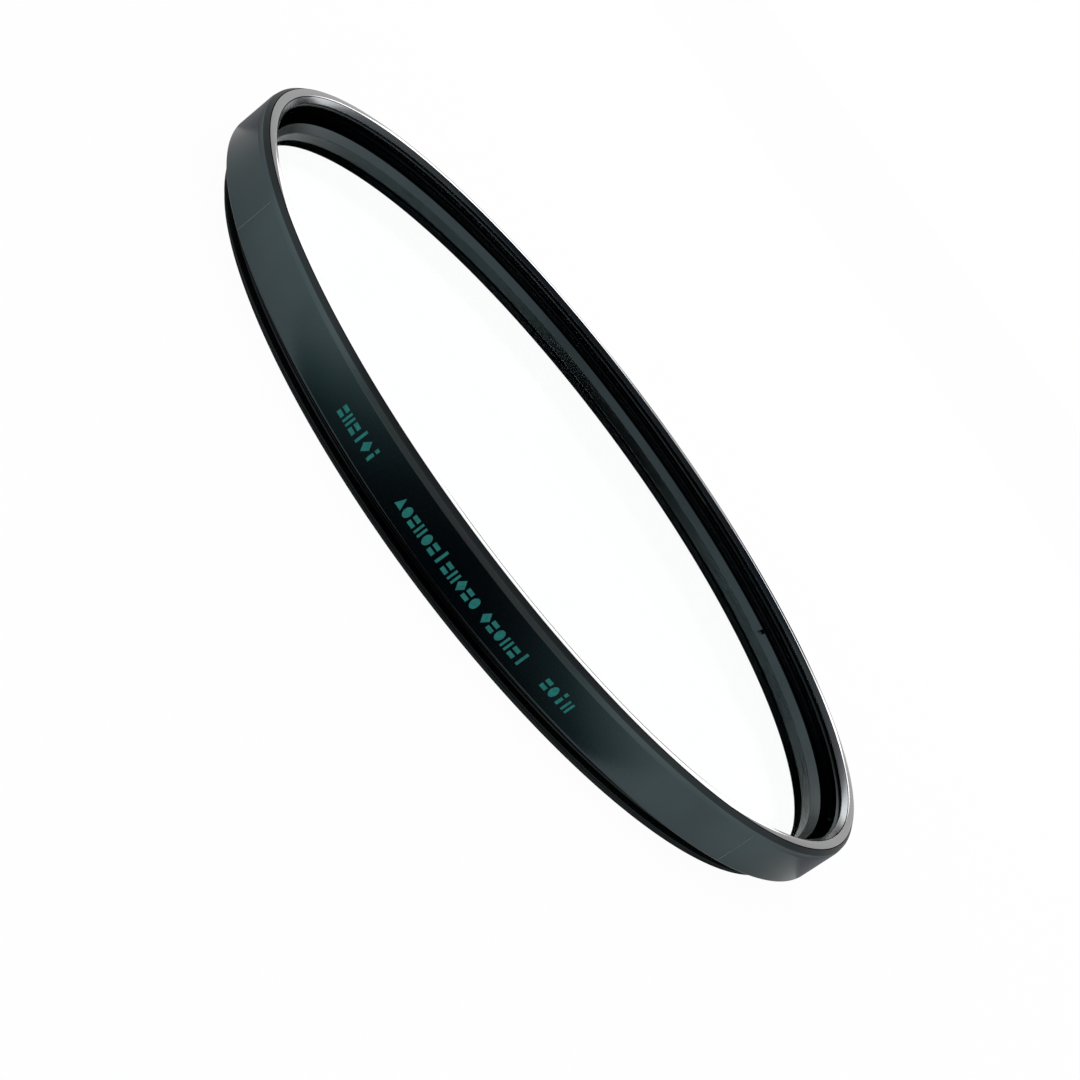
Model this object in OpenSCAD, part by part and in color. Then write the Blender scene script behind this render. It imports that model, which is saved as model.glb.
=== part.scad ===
// Screw-in protective lens filter: a turned frame, a coated glass disc and the ring that holds it.
// The optical axis is Z. The rear end face of the frame lies at z = 0, and the front looks along +Z.

/* [Filter thread] */
// Nominal filter size, the major diameter of both filter threads
filter_size = 105; // [82, 86, 95, 105, 112]
// Pitch of both filter threads
thread_pitch = 1; // [0.75, 1]
// Length of the male thread behind the shoulder
rear_thread_h = 2.4; // [2:0.1:2.6]
// Depth of the female thread in front of the retaining ring
front_thread_h = 3; // [2.4:0.1:4]
// Height of the runout groove beside each filter thread
runout_h = 0.5; // [0.3:0.05:0.7]
// Small lead-in bevel at the mouth of the female thread
mouth_bevel = 0.2; // [0.1:0.05:0.3]

/* [Outer wall] */
// How far the outer wall stands out past the male thread
wall_step = 1.75; // [1.2:0.05:2.5]
// Wall left between the male thread's root and the glass recess
neck_wall = 0.7; // [0.6:0.05:1.2]
// Depth of the undercut in the shoulder, where it meets the male thread
shoulder_undercut = 0.1; // [0.05:0.05:0.2]
// Bevel on the shoulder's outer edge
shoulder_bevel = 0.2; // [0.1:0.05:0.4]
// Height of the sloped band below the front edge
grip_band_h = 0.55; // [0.4:0.05:1.4]
// Slope of that band from the wall
grip_band_slope = 12; // [6:1:20]
// Height of the bevel between that band and the front face
front_bevel_h = 0.5; // [0.2:0.05:0.6]
// Width of that bevel, measured inwards
front_bevel_w = 0.5; // [0.15:0.05:0.6]

/* [Glass] */
// Thickness of the glass
glass_t = 1.9; // [1.5:0.1:2.5]
// Bevel ground on the glass's edges
glass_bevel = 0.2; // [0.1:0.05:0.3]
// Width of the lip that the glass rests on
seat_w = 0.6; // [0.4:0.05:1.2]
// Thickness of that lip
seat_h = 0.9; // [0.6:0.05:1.2]
// Bevel on the lip's rear inner edge
lip_bevel = 0.15; // [0.1:0.05:0.3]

/* [Retaining ring] */
// Height of the ring
ring_h = 2.4; // [2:0.1:3]
// Width of the ring, from its thread to its bore
ring_w = 0.95; // [0.85:0.05:1.2]
// How far the frame's thread for the ring runs on past the glass's front face
thread_overrun = 0.2; // [0.1:0.05:0.4]
// Height of the bevel round the ring's bore
ring_bevel_h = 1.1; // [0.8:0.05:1.4]
// Slope of that bevel from the bore
ring_bevel_slope = 30; // [20:1:30]
// Step out from the glass recess to the ring's thread
ring_step = 0.2; // [0.1:0.05:0.3]
// Width of the two spanner slots
slot_w = 0.8; // [0.8:0.1:3]
// Depth of the slots
slot_h = 0.4; // [0.4:0.1:1.2]
// Direction of the first slot, from +X
slot_angle = 48; // [0:1:179]

/* [Clearances] */
// Radial clearance between the male thread's crest and the flat of the shoulder
seating_gap = 0.1; // [0.05:0.01:0.2]
// Radial clearance between the glass and its recess
glass_gap = 0.1; // [0.05:0.01:0.15]
// Radial clearance between the retaining ring and the frame
ring_gap = 0.05; // [0.03:0.01:0.1]

/* [Hidden] */
$fn = 180;

// Depths of a 60 degree metric thread, as shares of its pitch
male_depth = 0.6134 * thread_pitch;
female_depth = 0.5413 * thread_pitch;

// Radii, from the outside in
thread_r = filter_size / 2;
wall_r = thread_r + wall_step;
band_in = grip_band_h * tan(grip_band_slope);
root_r = thread_r - male_depth;
mouth_r = thread_r - female_depth;
recess_r = root_r - neck_wall;
glass_r = recess_r - glass_gap;
ring_bore_wall_r = recess_r + ring_step;
ring_r = ring_bore_wall_r - ring_gap;
ring_bore_r = ring_r - ring_w;
seat_r = glass_r - seat_w;

// Heights, from the rear face to the front
glass_z = seat_h;
ring_z = glass_z + glass_t;
ring_top_z = ring_z + ring_h;
front_z = ring_top_z + front_thread_h;
band_z = front_z - front_bevel_h - grip_band_h;
// The ring's thread runs a little past the glass's front face, so that the ring can press on it
thread_end_z = ring_z - thread_overrun;

module filter_frame() {
  color([0.05, 0.06, 0.065])
    rotate_extrude()
      polygon([
        // Rear face, with the thread's lead-in bevel down to its root
        [seat_r + lip_bevel, 0],
        [root_r, 0],
        [thread_r, male_depth],
        // Male thread and its runout groove, which is undercut so that a lens's rim seats flat
        [thread_r, rear_thread_h - runout_h],
        [root_r, rear_thread_h - runout_h],
        [root_r, rear_thread_h + shoulder_undercut],
        // Shoulder, outer wall, sloped band and front bevel
        [thread_r + seating_gap, rear_thread_h],
        [wall_r - shoulder_bevel, rear_thread_h],
        [wall_r, rear_thread_h + shoulder_bevel],
        [wall_r, band_z],
        [wall_r - band_in, band_z + grip_band_h],
        [wall_r - band_in - front_bevel_w, front_z],
        // Front face, female thread and its runout groove
        [mouth_r + mouth_bevel, front_z],
        [mouth_r, front_z - mouth_bevel],
        [mouth_r, ring_top_z + runout_h],
        [thread_r, ring_top_z + runout_h],
        [thread_r, ring_top_z],
        // Bore for the retaining ring, glass recess and the lip under the glass
        [ring_bore_wall_r, ring_top_z],
        [ring_bore_wall_r, thread_end_z],
        [recess_r, thread_end_z],
        [recess_r, glass_z],
        [seat_r, glass_z],
        [seat_r, lip_bevel],
      ]);
}

module glass_disc() {
  color([0.85, 0.93, 0.92, 0.35])
    translate([0, 0, glass_z])
      rotate_extrude()
        polygon([
          [0, 0],
          [glass_r - glass_bevel, 0],
          [glass_r, glass_bevel],
          [glass_r, glass_t - glass_bevel],
          [glass_r - glass_bevel, glass_t],
          [0, glass_t],
        ]);
}

module ring_blank() {
  rotate_extrude()
    polygon([
      [ring_bore_r, ring_z],
      [ring_r, ring_z],
      [ring_r, ring_top_z],
      [ring_bore_r + ring_bevel_h * tan(ring_bevel_slope), ring_top_z],
      [ring_bore_r, ring_top_z - ring_bevel_h],
    ]);
}

module spanner_slot(angle) {
  // The cutter overshoots the ring on both sides and at its top
  overshoot = 1;
  rotate([0, 0, angle])
    translate([ring_bore_r - overshoot, -slot_w / 2, ring_top_z - slot_h])
      cube([ring_w + 2 * overshoot, slot_w, slot_h + overshoot]);
}

module retaining_ring() {
  color([0.09, 0.1, 0.11])
    difference() {
      ring_blank();
      for (side = [0, 180]) spanner_slot(slot_angle + side);
    }
}

filter_frame();
glass_disc();
retaining_ring();
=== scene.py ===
"""Looks of a screw-in protective lens filter: anodised frame, coated glass and retaining ring."""

import math

import bmesh
import bpy
from mathutils import Matrix, Vector


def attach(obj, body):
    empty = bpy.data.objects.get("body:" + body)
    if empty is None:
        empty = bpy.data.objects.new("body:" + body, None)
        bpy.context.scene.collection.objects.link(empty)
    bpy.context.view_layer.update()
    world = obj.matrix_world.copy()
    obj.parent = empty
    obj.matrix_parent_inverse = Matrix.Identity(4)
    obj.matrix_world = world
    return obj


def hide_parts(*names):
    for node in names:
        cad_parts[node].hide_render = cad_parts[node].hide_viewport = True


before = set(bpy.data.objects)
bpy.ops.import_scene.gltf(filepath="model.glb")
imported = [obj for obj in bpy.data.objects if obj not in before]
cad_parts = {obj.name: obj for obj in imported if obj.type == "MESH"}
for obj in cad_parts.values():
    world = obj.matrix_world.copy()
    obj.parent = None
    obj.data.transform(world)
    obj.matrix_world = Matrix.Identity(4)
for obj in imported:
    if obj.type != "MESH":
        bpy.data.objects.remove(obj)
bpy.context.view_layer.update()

MM = 0.001
MICRON = 1e-6

# Driving sizes in millimetres, as in the part's source
THREAD_R = 52.5
THREAD_PITCH = 1.0
WALL_STEP = 1.75
NECK_WALL = 0.7
SHOULDER_Z = 2.4
SHOULDER_UNDERCUT = 0.1
SHOULDER_BEVEL = 0.2
SEATING_GAP = 0.1
RUNOUT_H = 0.5
BAND_H = 0.55
BAND_SLOPE = 12
FRONT_BEVEL_H = 0.5
FRONT_BEVEL_W = 0.5
FRONT_THREAD_H = 3.0
GLASS_T = 1.9
GLASS_BEVEL = 0.2
GLASS_GAP = 0.1
SEAT_W = 0.6
SEAT_H = 0.9
LIP_BEVEL = 0.15
RING_H = 2.4
RING_W = 0.95
RING_GAP = 0.05
RING_STEP = 0.2
THREAD_OVERRUN = 0.2
RING_BEVEL_H = 1.1
RING_BEVEL_SLOPE = 30
SLOT_W = 0.8
SLOT_H = 0.4
SLOT_ANGLE = 48

# Depths of a 60 degree metric thread, as shares of its pitch
MALE_DEPTH = 0.6134
FEMALE_DEPTH = 0.5413

# Worked out from those, from the outside in and from the rear up
ROOT_R = THREAD_R - MALE_DEPTH * THREAD_PITCH
MOUTH_R = THREAD_R - FEMALE_DEPTH * THREAD_PITCH
WALL_R = THREAD_R + WALL_STEP
BAND_IN = BAND_H * math.tan(math.radians(BAND_SLOPE))
RECESS_R = ROOT_R - NECK_WALL
GLASS_R = RECESS_R - GLASS_GAP
SEAT_R = GLASS_R - SEAT_W
RING_WALL_R = RECESS_R + RING_STEP
RING_R = RING_WALL_R - RING_GAP
RING_BORE_R = RING_R - RING_W
RING_BEVEL_W = RING_BEVEL_H * math.tan(math.radians(RING_BEVEL_SLOPE))
GLASS_Z = SEAT_H
RING_Z = GLASS_Z + GLASS_T
RING_TOP_Z = RING_Z + RING_H
FRONT_Z = RING_TOP_Z + FRONT_THREAD_H

# The mouth of the helical female thread: its lead-in bevel, how deep the land behind that
# ends, and how deep the mouth's own finish reaches
LEAD_IN = 0.58
MOUTH_LAND = 0.7
MOUTH_DEPTH = 1.3

# Widths of the threads' ridges at their beds and crests, as shares of the pitch
MALE_BASE, MALE_CREST = 0.83, 0.125
FEMALE_BASE, FEMALE_CREST = 0.875, 0.25
# How far a ridge reaches into its bed, as a share of its height
RIDGE_SUNK = 0.06

# Radii that soften the edges of the frame and of the ring, and the flats round a full turn
FRAME_SOFT_R = 0.06
RING_SOFT_R = 0.05
LATHE_STEPS = 720
THREAD_STEPS = 360


# Shader building

class Socket:
    """An output socket that adds Math nodes when it is used in an expression."""

    def __init__(self, build, out):
        self.build, self.out = build, out

    def math(self, operation, *others, clamp=False):
        settings = {"operation": operation, "use_clamp": clamp}
        return self.build.node("ShaderNodeMath", settings, self, *others)

    def other(self, out):
        """Another output of the same node."""
        return Socket(self.build, self.out.node.outputs[out])

    def __add__(self, other):
        return self.math("ADD", other)

    def __sub__(self, other):
        return self.math("SUBTRACT", other)

    def __mul__(self, other):
        return self.math("MULTIPLY", other)

    def __rsub__(self, other):
        return self.build.node("ShaderNodeMath", {"operation": "SUBTRACT"}, other, self)

    __radd__ = __add__
    __rmul__ = __mul__


class Build:
    """One node tree, and the one method that adds a node to it."""

    def __init__(self, tree):
        self.tree = tree
        tree.nodes.clear()

    def node(self, kind, settings=None, *inputs, out=0, **named):
        made = self.tree.nodes.new(kind)
        for key, value in (settings or {}).items():
            if key == "stops":
                ramp = made.color_ramp
                for i, (at, colour) in enumerate(value):
                    stop = ramp.elements[i] if i < len(ramp.elements) else ramp.elements.new(at)
                    stop.position, stop.color = at, colour
            else:
                setattr(made, key, value)
        pairs = list(zip(made.inputs, inputs))
        pairs += [(made.inputs[name.replace("_", " ")], value) for name, value in named.items()]
        for socket, value in pairs:
            if isinstance(value, Socket):
                self.tree.links.new(value.out, socket)
            elif value is not None:
                socket.default_value = value
        return Socket(self, made.outputs[out]) if len(made.outputs) else made


def material(name, surface):
    """A new material whose surface is what the function surface(build) returns."""
    made = bpy.data.materials.new(name)
    made.use_nodes = True
    build = Build(made.node_tree)
    build.node("ShaderNodeOutputMaterial", None, surface(build))
    return made


def object_place(build):
    return build.node("ShaderNodeTexCoord", None, out=3)


def noise(build, scale, detail, place=None):
    """Noise over the part's own space, or over another place; scale is per metre."""
    return build.node("ShaderNodeTexNoise", None, place or object_place(build), None, scale, detail)


def turning_marks(build, scale):
    """Noise that stays the same all the way round the axis, as the marks of a lathe tool do."""
    x = build.node("ShaderNodeSeparateXYZ", None, object_place(build))
    y, z = x.other("Y"), x.other("Z")
    radius = (x * x + y * y).math("SQRT")
    across = build.node("ShaderNodeCombineXYZ", None, radius, 0.0, z)
    return noise(build, scale, 1.0, across)


# Mesh building

# Most of a side of an outline that one softened corner may take
SIDE_SHARE = 0.4
# How far even normals follow the larger faces, where 50 is neutral
LARGE_FACE_WEIGHT = 90


def soften(outline, radius, steps=3):
    """Rounds each corner of a closed (r, z) outline."""
    soft = []
    count = len(outline)
    for i, point in enumerate(outline):
        here = Vector(point)
        back = Vector(outline[i - 1]) - here
        ahead = Vector(outline[(i + 1) % count]) - here
        reach = min(radius, back.length * SIDE_SHARE, ahead.length * SIDE_SHARE)
        start, end = here + back.normalized() * reach, here + ahead.normalized() * reach
        for k in range(steps + 1):
            t = k / steps
            soft.append(start * (1 - t) ** 2 + here * 2 * t * (1 - t) + end * t ** 2)
    return soft


def turned(r, angle, z):
    """A point of the turned part, from millimetres and radians to metres."""
    return Vector((r * MM * math.cos(angle), r * MM * math.sin(angle), z * MM))


def finish_mesh(name, mesh_maker, *materials, smooth=True):
    """Turns what mesh_maker does to a new bmesh into an object; a smooth one gets even normals."""
    shape = bmesh.new()
    mesh_maker(shape)
    bmesh.ops.recalc_face_normals(shape, faces=shape.faces)
    data = bpy.data.meshes.new(name)
    shape.to_mesh(data)
    shape.free()
    for face in data.polygons:
        face.use_smooth = smooth
    for each in materials:
        data.materials.append(each)
    piece = bpy.data.objects.new(name, data)
    bpy.context.scene.collection.objects.link(piece)
    if smooth:
        even = piece.modifiers.new("even_normals", "WEIGHTED_NORMAL")
        even.weight = LARGE_FACE_WEIGHT
    return piece


def lathe(outline, steps=LATHE_STEPS):
    """A maker that revolves a closed (r, z) outline in millimetres; points at r 0 are shared."""
    def make(shape):
        rows = []
        for r, z in outline:
            if r < 1e-9:
                rows.append([shape.verts.new((0, 0, z * MM))] * steps)
            else:
                angles = [2 * math.pi * k / steps for k in range(steps)]
                rows.append([shape.verts.new(turned(r, angle, z)) for angle in angles])
        for i, row in enumerate(rows):
            after = rows[(i + 1) % len(rows)]
            for k in range(steps):
                ring = [row[k], row[(k + 1) % steps], after[(k + 1) % steps], after[k]]
                corners = list(dict.fromkeys(ring))
                if len(corners) > 2:
                    shape.faces.new(corners)
    return make


def thread_ridge(root_r, crest_r, base, crest, low_z, high_z, limit, steps=THREAD_STEPS):
    """A maker of a right-hand helical ridge from root_r to crest_r, kept between two heights.

    base and crest are its widths as shares of the pitch. limit(r, z) pulls a radius back
    to the bevel that cuts the thread's end."""
    base_half, crest_half = base / 2 * THREAD_PITCH, crest / 2 * THREAD_PITCH
    sunk = root_r + (root_r - crest_r) * RIDGE_SUNK
    section = [(sunk, -base_half), (root_r, -base_half), (crest_r, -crest_half),
               (crest_r, crest_half), (root_r, base_half), (sunk, base_half)]

    def make(shape):
        turns = (high_z - low_z) / THREAD_PITCH
        rings = []
        for k in range(int(turns * steps) + 1):
            middle = low_z + THREAD_PITCH * k / steps
            ring = []
            for r, dz in section:
                z = min(max(middle + dz, low_z), high_z)
                ring.append(shape.verts.new(turned(limit(r, z), 2 * math.pi * k / steps, z)))
            rings.append(ring)
        for near, far in zip(rings, rings[1:]):
            for i in range(len(section)):
                j = (i + 1) % len(section)
                shape.faces.new((near[i], near[j], far[j], far[i]))
        shape.faces.new(rings[0])
        shape.faces.new(rings[-1][::-1])
        bmesh.ops.remove_doubles(shape, verts=shape.verts, dist=1e-7)
    return make


# Finishes

# Scales of the finishes' noise, per metre
CLOUD_SCALE = 90
GRAIN_SCALE = 5200
MARK_SCALE = 6000
INK_SCALE = 2600
# Where the cloudy shade starts and stops changing, and the shares of the colour there
CLOUD_SHADES = ((0.35, 0.92), (0.65, 1.08))
# How much a finish's gloss varies, as shares of its roughness, and how strongly its bumps show
CLOUD_GLOSS = 0.2
FINE_GLOSS = 0.25
BUMP_STRENGTH = 0.25
GLASS_IOR = 1.52
# Share of the bare glass's reflection that its coating leaves
COATING = 0.02


def anodised(name, colour, roughness, edge, grain=0.0, marks=0.0):
    """Black anodised aluminium: dark metal, a little uneven in shade and gloss.

    edge dims its reflection at grazing angles. grain is the depth in micrometres of a blasted
    texture, and marks that of the fine rings a lathe tool leaves."""
    def surface(build):
        cloud = noise(build, CLOUD_SCALE, 2)
        fine = noise(build, GRAIN_SCALE, 2) if grain else turning_marks(build, MARK_SCALE)
        uneven = (roughness + (cloud - 0.5) * CLOUD_GLOSS * roughness
                  + (fine - 0.5) * FINE_GLOSS * roughness)
        bump = build.node("ShaderNodeBump", None, Strength=BUMP_STRENGTH,
                          Distance=(grain or marks) * MICRON, Height=fine)
        shades = [(at, (*(c * k for c in colour), 1)) for at, k in CLOUD_SHADES]
        tint = build.node("ShaderNodeValToRGB", {"stops": shades}, cloud)
        return build.node("ShaderNodeBsdfPrincipled", None, Base_Color=tint, Metallic=1.0,
                          Roughness=uneven, Specular_Tint=(edge, edge, edge, 1), Normal=bump)
    return material(name, surface)


def coated_glass():
    """Clear glass that bends light; its anti-reflection coating leaves a faint reflection."""
    def surface(build):
        clear = build.node("ShaderNodeBsdfRefraction", None, Color=(0.99, 1.0, 0.995, 1),
                           Roughness=0.0, IOR=GLASS_IOR)
        gloss = build.node("ShaderNodeBsdfAnisotropic", None, Color=(0.8, 1.0, 0.9, 1),
                           Roughness=0.0)
        mirror = build.node("ShaderNodeFresnel", None, GLASS_IOR)
        return build.node("ShaderNodeMixShader", None, mirror * COATING, clear, gloss)
    return material("coated_glass", surface)


def ink(name, thin, thick):
    """Matt screen-printed ink, a little uneven where it lies on the blasted wall."""
    def surface(build):
        patchy = noise(build, INK_SCALE, 3)
        shades = [(0.3, (*thin, 1)), (0.7, (*thick, 1))]
        tint = build.node("ShaderNodeValToRGB", {"stops": shades}, patchy)
        return build.node("ShaderNodeBsdfPrincipled", None, Base_Color=tint, Roughness=0.6,
                          Specular_IOR_Level=0.2)
    return material(name, surface)


wall_black = anodised("frame_anodised", (0.060, 0.082, 0.088), 0.22, 0.6, grain=20)
# Rougher than the wall, with half its colour as painted shade, for the neck, the front bevel and
# both threads
painted_half_shade = anodised("anodised_painted_half_shade", (0.030, 0.036, 0.038), 0.35, 0.5, grain=10)
rim_black = anodised("rim_anodised", (0.070, 0.072, 0.070), 0.05, 1.0)
mouth_black = anodised("mouth_anodised", (0.026, 0.032, 0.036), 0.2, 1.0, grain=4)
# A far darker colour than the wall's, as painted shade, for the bore, the deep female thread, the
# lip, the front face's softened edges and the ring's top
painted_deep_shade = anodised("anodised_painted_deep_shade", (0.008, 0.010, 0.012), 0.38, 0.1, grain=10)
ring_black = anodised("ring_anodised", (0.038, 0.052, 0.056), 0.28, 0.85, marks=0.4)


def dress(piece, slot, *replaced):
    """Rides a piece on the one body, in place of any CAD nodes named; slot is not used."""
    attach(piece, "root")
    if replaced:
        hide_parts(*replaced)


# Filter frame

# The frame's finishes, in the order of its materials; the second and the fourth are its anodised
# black darkened as painted shade
WALL, PAINTED_HALF_SHADE, RIM, PAINTED_DEEP_SHADE, MOUTH = range(5)
# How far a softened edge of the front face reaches past its corner, and how far it drops
SOFT_REACH = 0.08
SOFT_DROP = 0.035
# Slack for a face that lies at a height, and for one that is the flat of the front face
FACE_SLACK = 0.01
FLAT_SLACK = 0.001


def frame_outline():
    """The frame's closed outline, without the threads' ridges."""
    land_z = FRONT_Z - MOUTH_LAND
    return [
        (SEAT_R + LIP_BEVEL, 0), (ROOT_R, 0), (ROOT_R, SHOULDER_Z + SHOULDER_UNDERCUT),
        (THREAD_R + SEATING_GAP, SHOULDER_Z),
        (WALL_R - SHOULDER_BEVEL, SHOULDER_Z), (WALL_R, SHOULDER_Z + SHOULDER_BEVEL),
        (WALL_R, FRONT_Z - FRONT_BEVEL_H - BAND_H),
        (WALL_R - BAND_IN, FRONT_Z - FRONT_BEVEL_H),
        (WALL_R - BAND_IN - FRONT_BEVEL_W, FRONT_Z),
        (MOUTH_R + LEAD_IN, FRONT_Z), (MOUTH_R, FRONT_Z - LEAD_IN),
        (MOUTH_R, land_z), (THREAD_R, land_z), (THREAD_R, RING_TOP_Z),
        (RING_WALL_R, RING_TOP_Z), (RING_WALL_R, RING_Z - THREAD_OVERRUN),
        (RECESS_R, RING_Z - THREAD_OVERRUN), (RECESS_R, GLASS_Z),
        (SEAT_R, GLASS_Z), (SEAT_R, LIP_BEVEL),
    ]


def finish_faces(piece):
    """Gives the front face and the mouth their own finishes, and painted shade to the neck, the
    front bevel, the bore below the mouth, the lip and the front face's softened edges.
    """
    rim_in_r = MOUTH_R + LEAD_IN + SOFT_REACH
    rim_out_r = WALL_R - BAND_IN - FRONT_BEVEL_W - SOFT_REACH
    for face in piece.data.polygons:
        r, z = Vector(face.center[:2]).length / MM, face.center[2] / MM
        neck = z < SHOULDER_Z + SHOULDER_UNDERCUT and r < THREAD_R + SEATING_GAP
        bore = z > RING_Z and r < rim_in_r
        rim_edge = z > FRONT_Z - SOFT_DROP and (r < rim_in_r or r > rim_out_r)
        lip = z < GLASS_Z + FACE_SLACK and r < RECESS_R
        bevel = z > FRONT_Z - FRONT_BEVEL_H - FACE_SLACK and r > rim_out_r
        if z > FRONT_Z - FLAT_SLACK:
            face.material_index = RIM
        elif bore and z > FRONT_Z - MOUTH_DEPTH and not rim_edge:
            face.material_index = MOUTH
        # Painted shade: the darkest colour on the bore below the mouth, the lip and the front
        # face's softened edges, and a less dark one on the neck and the front bevel
        elif bore or lip or rim_edge:
            face.material_index = PAINTED_DEEP_SHADE
        else:
            face.material_index = PAINTED_HALF_SHADE if neck or bevel else WALL


frame_piece = finish_mesh("frame_turned", lathe(soften(frame_outline(), FRAME_SOFT_R)),
                          wall_black, painted_half_shade, rim_black, painted_deep_shade, mouth_black)
finish_faces(frame_piece)
male_thread = finish_mesh(
    "frame_male_thread",
    thread_ridge(ROOT_R, THREAD_R, MALE_BASE, MALE_CREST, 0.0, SHOULDER_Z - RUNOUT_H,
                 lambda r, z: min(r, ROOT_R + z)),
    painted_half_shade)
female_thread = finish_mesh(
    "frame_female_thread",
    thread_ridge(THREAD_R, MOUTH_R, FEMALE_BASE, FEMALE_CREST, RING_TOP_Z + RUNOUT_H,
                 FRONT_Z - MOUTH_LAND, lambda r, z: r),
    painted_deep_shade, painted_half_shade)
# Painted shade on the female thread: the darkest colour deep in the bore, a less dark one near the
# mouth
for face in female_thread.data.polygons:
    face.material_index = 1 if face.center[2] / MM > FRONT_Z - MOUTH_DEPTH else 0
dress(frame_piece, "frame_anodised", "filter_frame")
dress(male_thread, "frame_anodised")
dress(female_thread, "frame_anodised")


# Glass disc

def glass_outline():
    top = GLASS_Z + GLASS_T
    return [(0, GLASS_Z), (GLASS_R - GLASS_BEVEL, GLASS_Z), (GLASS_R, GLASS_Z + GLASS_BEVEL),
            (GLASS_R, top - GLASS_BEVEL), (GLASS_R - GLASS_BEVEL, top), (0, top)]


glass_piece = finish_mesh("glass_clear", lathe(glass_outline()), coated_glass(), smooth=False)
glass_piece.visible_shadow = False
dress(glass_piece, "coated_glass", "glass_disc")


# Retaining ring

# How far the painted shade on the ring's top reaches down its softened edges
RING_TOP_DROP = 0.04
# Length of the cutter for a slot, which overshoots the ring on both sides
SLOT_CUT_L = 3


def ring_outline():
    return [(RING_BORE_R, RING_Z), (RING_R, RING_Z), (RING_R, RING_TOP_Z),
            (RING_BORE_R + RING_BEVEL_W, RING_TOP_Z), (RING_BORE_R, RING_TOP_Z - RING_BEVEL_H)]


def slot_cutters(shape):
    for side in (0, 180):
        turn = Matrix.Rotation(math.radians(SLOT_ANGLE + side), 4, "Z")
        size = Matrix.Diagonal((SLOT_CUT_L * MM, SLOT_W * MM, 2 * SLOT_H * MM, 1))
        at = Matrix.Translation(((RING_BORE_R + RING_W / 2) * MM, 0, RING_TOP_Z * MM))
        bmesh.ops.create_cube(shape, size=1, matrix=turn @ at @ size)


def cut_slots(piece):
    cutter = finish_mesh("slot_cutters", slot_cutters, smooth=False)
    cut = piece.modifiers.new("slots", "BOOLEAN")
    cut.object, cut.operation, cut.solver = cutter, "DIFFERENCE", "EXACT"
    piece.modifiers.move(1, 0)
    graph = bpy.context.evaluated_depsgraph_get()
    baked = bpy.data.meshes.new_from_object(piece.evaluated_get(graph))
    piece.modifiers.clear()
    piece.data = baked
    bpy.data.objects.remove(cutter)


ring_piece = finish_mesh("ring_turned", lathe(soften(ring_outline(), RING_SOFT_R)), ring_black)
cut_slots(ring_piece)
# The ring's top, deep in the bore, gets the darkest colour as painted shade
ring_piece.data.materials.append(painted_deep_shade)
for face in ring_piece.data.polygons:
    face.material_index = 1 if face.center[2] / MM > RING_TOP_Z - RING_TOP_DROP else 0
dress(ring_piece, "ring_anodised", "retaining_ring")


# Print on the wall: plain marks in five groups, centred on -Y, and two index lines

MARK_H = 1.55
MARK_PITCH = 1.03
INK_PROUD = 0.012
INK_SUNK = 0.02
INDEX_LINE_W = 0.2
INDEX_LINE_ANGLES = (224.8, 319.0)


def bar(w, low, high, at=0.0):
    return [(at - w / 2, low), (at + w / 2, low), (at + w / 2, high), (at - w / 2, high)]


def polygon(sides, radius, middle, turn=0.0):
    angles = [turn + 2 * math.pi * k / sides for k in range(sides)]
    return [(radius * math.cos(a), middle + radius * math.sin(a)) for a in angles]


# Each mark is a list of outlines, in millimetres along the wall and as shares of the mark's height
MARKS = {
    "bar": [bar(0.3, -0.5, 0.5)],
    "pair": [bar(0.25, -0.5, 0.3, at) for at in (-0.25, 0.25)],
    "split_bar": [bar(0.36, -0.5, 0.06), bar(0.36, 0.22, 0.5)],
    "diamond": [polygon(4, 0.48, -0.06)],
    "dot": [polygon(16, 0.41, -0.1)],
    "rows": [bar(0.76, -0.5, -0.2), bar(0.76, -0.02, 0.28)],
    "wedge": [polygon(3, 0.52, -0.16, math.pi / 2)],
}

# Each group: the angle of its middle from +X in degrees, its height on the wall, and its
# marks from left to right
GROUPS = (
    (254.9, 4.65, ("rows", "pair", "rows", "bar", "diamond", "split_bar")),
    (266.4, 4.50, ("wedge", "dot", "rows", "pair", "dot", "rows", "bar")),
    (273.0, 4.45, ("rows", "pair", "diamond", "rows", "dot")),
    (279.7, 4.40, ("diamond", "rows", "dot", "pair", "rows", "bar")),
    (287.6, 4.75, ("rows", "dot", "split_bar", "pair")),
)


def add_patch(shape, angle, outline):
    """A thin patch whose sides reach into the wall; the outline is (along, z) in millimetres."""
    middle = math.radians(angle)
    rims = []
    for r in (WALL_R - INK_SUNK, WALL_R + INK_PROUD):
        rims.append([shape.verts.new(turned(r, middle + u / WALL_R, z)) for u, z in outline])
    shape.faces.new(rims[1])
    for k in range(len(outline)):
        j = (k + 1) % len(outline)
        shape.faces.new((rims[0][k], rims[0][j], rims[1][j], rims[1][k]))


def print_marks(shape):
    for angle, height, names in GROUPS:
        for i, name in enumerate(names):
            along = (i - (len(names) - 1) / 2) * MARK_PITCH
            for outline in MARKS[name]:
                add_patch(shape, angle, [(along + u, height + v * MARK_H) for u, v in outline])


def index_lines(shape):
    low, high = SHOULDER_Z + SHOULDER_BEVEL, FRONT_Z - FRONT_BEVEL_H - BAND_H
    for angle in INDEX_LINE_ANGLES:
        add_patch(shape, angle, bar(INDEX_LINE_W, low, high))


teal_ink = ink("print_ink", (0.010, 0.143, 0.133), (0.016, 0.207, 0.190))
grey_ink = ink("index_ink", (0.065, 0.090, 0.098), (0.085, 0.110, 0.118))
dress(finish_mesh("wall_print", print_marks, teal_ink, smooth=False), "print_ink")
dress(finish_mesh("wall_index_lines", index_lines, grey_ink, smooth=False), "print_ink")


# Stage, in metres

FLOOR_HALF = 3
FLOOR_DROP = 0.00002
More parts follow.
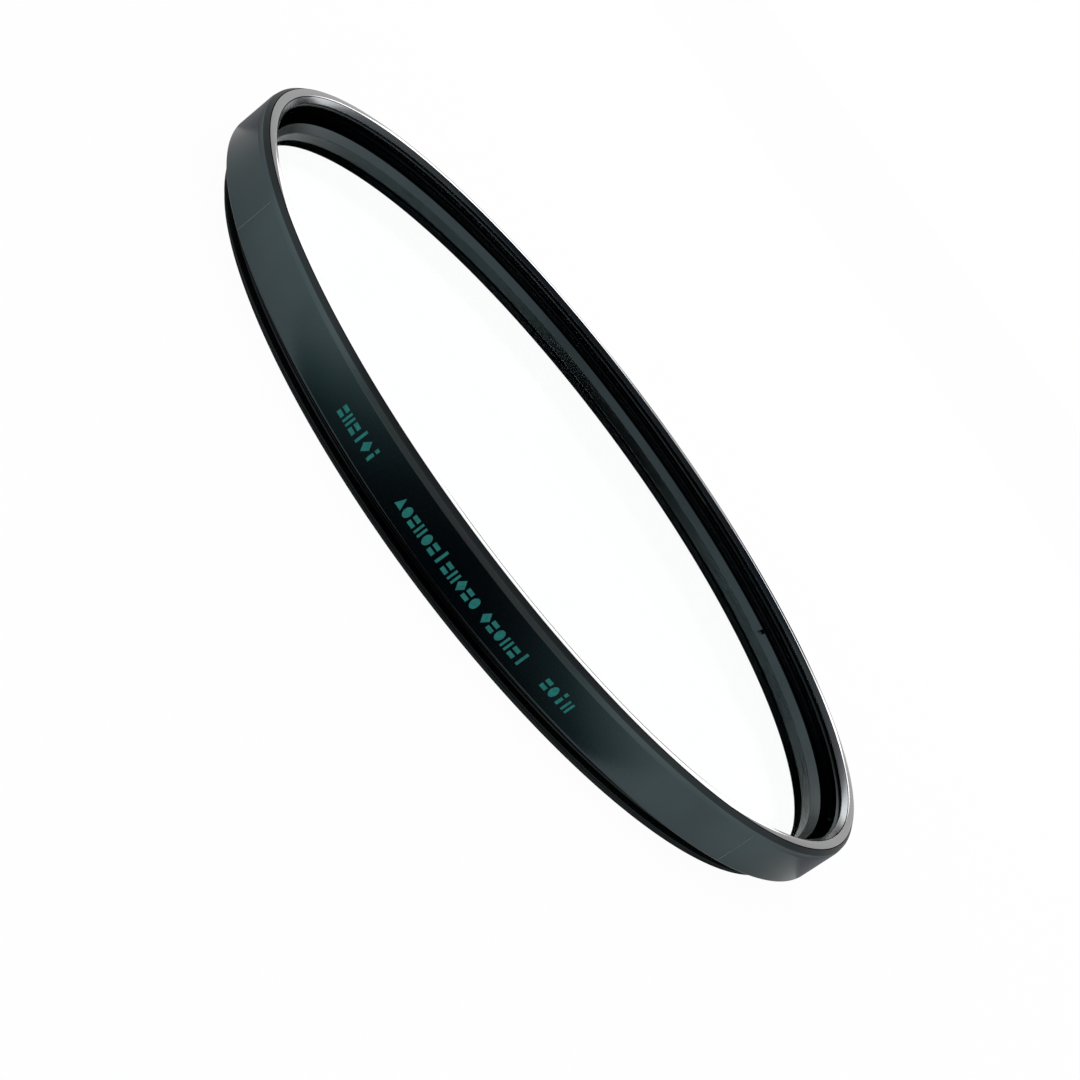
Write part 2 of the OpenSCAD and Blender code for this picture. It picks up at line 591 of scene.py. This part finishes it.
# The floor's own glow where it is seen, and how much less of it metal mirrors
FLOOR_GLOW = 0.97
MIRRORED_LESS = 0.73
# Strength of the world where it lights the part
ROOM_LIGHT = 0.8
SOFTBOX_DISTANCE = 0.7
LOW_GEL_Z = 0.0001


def seen_rays(build):
    """1 for what the camera sees, straight or in glass or metal, and 0 for light on the part."""
    path = build.node("ShaderNodeLightPath")
    seen = path.other("Is Camera Ray") + path.other("Is Glossy Ray")
    return seen.math("ADD", path.other("Is Transmission Ray"), clamp=True), path


def stage_floor():
    """A white floor. Metal mirrors it mostly as it is lit, with the part's contact shadow."""
    def surface(build):
        seen, path = seen_rays(build)
        less = path.other("Glossy Depth").math("MULTIPLY", MIRRORED_LESS, clamp=True)
        plain = build.node("ShaderNodeBsdfDiffuse", None, (0.9, 0.9, 0.9, 1))
        white = build.node("ShaderNodeEmission", None, (1, 1, 1, 1), 1.0)
        return build.node("ShaderNodeMixShader", None, seen * (FLOOR_GLOW - less), plain, white)

    def make(shape):
        bmesh.ops.create_grid(shape, x_segments=1, y_segments=1, size=FLOOR_HALF)
        bmesh.ops.translate(shape, verts=shape.verts, vec=(0, 0, -FLOOR_DROP))
    finish_mesh("floor", make, material("white_floor", surface), smooth=False)


def stage_world():
    """A white room, at a plain level where it lights the part."""
    world = bpy.data.worlds.new("studio")
    bpy.context.scene.world = world
    world.use_nodes = True
    build = Build(world.node_tree)
    seen, _ = seen_rays(build)
    strength = seen.math("MAXIMUM", ROOM_LIGHT)
    room = build.node("ShaderNodeBackground", None, (1, 1, 1, 1), strength)
    build.node("ShaderNodeOutputWorld", None, room)


def painted_reflection(name, corners, *stops, middle=0.0):
    """A sheet that only the metal mirrors, as painted reflection: it darkens and tints what the
    metal mirrors through it.

    Each stop is a distance aside from the middle, and the colour let through there."""
    reach = stops[-1][0]

    def surface(build):
        x = build.node("ShaderNodeSeparateXYZ", None, object_place(build))
        aside = (x - middle).math("ABSOLUTE") * (1 / reach)
        shades = [(at / reach, (*colour, 1)) for at, colour in stops]
        through = build.node("ShaderNodeValToRGB", {"stops": shades}, aside)
        return build.node("ShaderNodeBsdfTransparent", None, through)

    def make(shape):
        shape.faces.new([shape.verts.new(Vector(corner)) for corner in corners])
    piece = finish_mesh(name, make, material(name, surface), smooth=False)
    for kind in ("camera", "diffuse", "transmission", "shadow"):
        setattr(piece, f"visible_{kind}", False)


def upright(y, left, right, top):
    return [(left, y, 0), (right, y, 0), (right, y, top), (left, y, top)]


def lying(z, x, near, far):
    return [(-x, near, z), (x, near, z), (x, far, z), (-x, far, z)]


def segment(z, radius, start, end, steps=24):
    """The part of a disc beyond the chord between two angles in degrees."""
    angles = [math.radians(start + (end - start) * k / steps) for k in range(steps + 1)]
    return [(radius * math.cos(a), radius * math.sin(a), z) for a in angles]


def softbox(name, elevation, width, height, power):
    """An area lamp behind the object that faces the origin."""
    e = math.radians(elevation)
    towards = Vector((0, math.cos(e), math.sin(e)))
    lamp = bpy.data.lights.new(name, "AREA")
    lamp.shape, lamp.size, lamp.size_y, lamp.energy = "RECTANGLE", width, height, power
    box = bpy.data.objects.new(name, lamp)
    box.location = towards * SOFTBOX_DISTANCE
    box.rotation_mode = "QUATERNION"
    box.rotation_quaternion = towards.to_track_quat("Z", "Y")
    bpy.context.scene.collection.objects.link(box)


stage_floor()
stage_world()
softbox("back_softbox_low", 12.55, 0.366, 0.048, 0.206)
softbox("back_softbox_high", 25.45, 0.393, 0.268, 1.232)
# Sheets seen only in the metal, as painted reflection: the ceiling ones and the screens darken the
# room that the metal mirrors, and the tip one dims the floor beside the tips
painted_reflection("ceiling_gel_front", lying(0.6, 0.4, -0.4, 0.05),
    (0.2, (0.33, 0.33, 0.35)), (0.4, (0.33, 0.33, 0.35)))
painted_reflection("ceiling_gel_rear", lying(0.6, 0.4, 0.05, 0.4),
    (0.2, (0.17, 0.22, 0.30)), (0.4, (0.17, 0.22, 0.30)))
painted_reflection("screen_behind_camera", upright(-0.6, -0.8, 0.8, 0.3),
    (0.0, (0.40, 0.31, 0.31)), (0.3, (0.45, 0.37, 0.34)),
    (0.53, (0.50, 0.57, 0.53)), (0.7, (1, 1, 1)))
painted_reflection("low_screen_behind", upright(0.6, -0.036, 0.151, 0.15),
    (0.0, (0.001, 0.0018, 0.011)), (0.066, (0.001, 0.0018, 0.011)),
    (0.093, (1, 1, 1)), middle=0.058)
painted_reflection("tip_gel", lying(LOW_GEL_Z, 0.09, -0.007, 0.05),
    (0.0, (1, 1, 1)), (0.05, (1, 1, 1)),
    (0.054, (0.42, 0.42, 0.45)), (0.09, (0.42, 0.42, 0.45)))
# Painted shade on the floor in front of the wall, darkest straight in front, which gives the wall
# its dark middle
painted_reflection("front_gel", lying(LOW_GEL_Z, 0.06, -0.3, -0.053),
    (0.0, (0.003, 0.015, 0.025)), (0.014, (0.02, 0.03, 0.04)), (0.027, (0.09, 0.15, 0.16)),
    (0.035, (0.30, 0.43, 0.40)), (0.043, (0.68, 0.72, 0.70)), (0.056, (1, 1, 1)), middle=0.002)
# Painted shade inside the ring by the far wall, which the far bore mirrors
painted_reflection("bore_gel", segment(0.00285, 0.0503, 56, 124),
    (0.0, (0.05, 0.05, 0.05)), (0.008, (0.12, 0.12, 0.12)),
    (0.0157, (0.5, 0.5, 0.5)), (0.027, (1, 1, 1)))


# Camera

FRAME_PX = 1080
CAMERA_DISTANCE = 231.06 * MM
CAMERA_ELEVATION = 15.03
CAMERA_ROLL = 53.35
FOCAL_PX = 1941.2
SENSOR_MM = 36
NEAREST, FURTHEST = 0.01, 20
# Where the photo shows the centre of the rear face
ORIGIN_PX = (529.1, 496.5)


def place_camera():
    e, roll = math.radians(CAMERA_ELEVATION), math.radians(CAMERA_ROLL)
    forward = Vector((0, math.cos(e), -math.sin(e)))
    side, up = Vector((1, 0, 0)), Vector((0, math.sin(e), math.cos(e)))
    right = side * math.cos(roll) + up * math.sin(roll)
    above = up * math.cos(roll) - side * math.sin(roll)
    level = Matrix((right, above, -forward)).transposed()
    half = FRAME_PX / 2
    across, upwards = ORIGIN_PX[0] - half, half - ORIGIN_PX[1]
    aim = Vector((across / FOCAL_PX, upwards / FOCAL_PX, -1)).normalized()
    turn = aim.rotation_difference(Vector((0, 0, -1))).to_matrix()
    data = bpy.data.cameras.new("camera")
    data.sensor_width = SENSOR_MM
    data.lens = FOCAL_PX / FRAME_PX * data.sensor_width
    data.clip_start, data.clip_end = NEAREST, FURTHEST
    camera = bpy.data.objects.new("camera", data)
    camera.matrix_world = Matrix.Translation(-forward * CAMERA_DISTANCE) @ (level @ turn).to_4x4()
    bpy.context.scene.collection.objects.link(camera)
    bpy.context.scene.camera = camera


place_camera()
bpy.context.scene.view_settings.view_transform = "Standard"
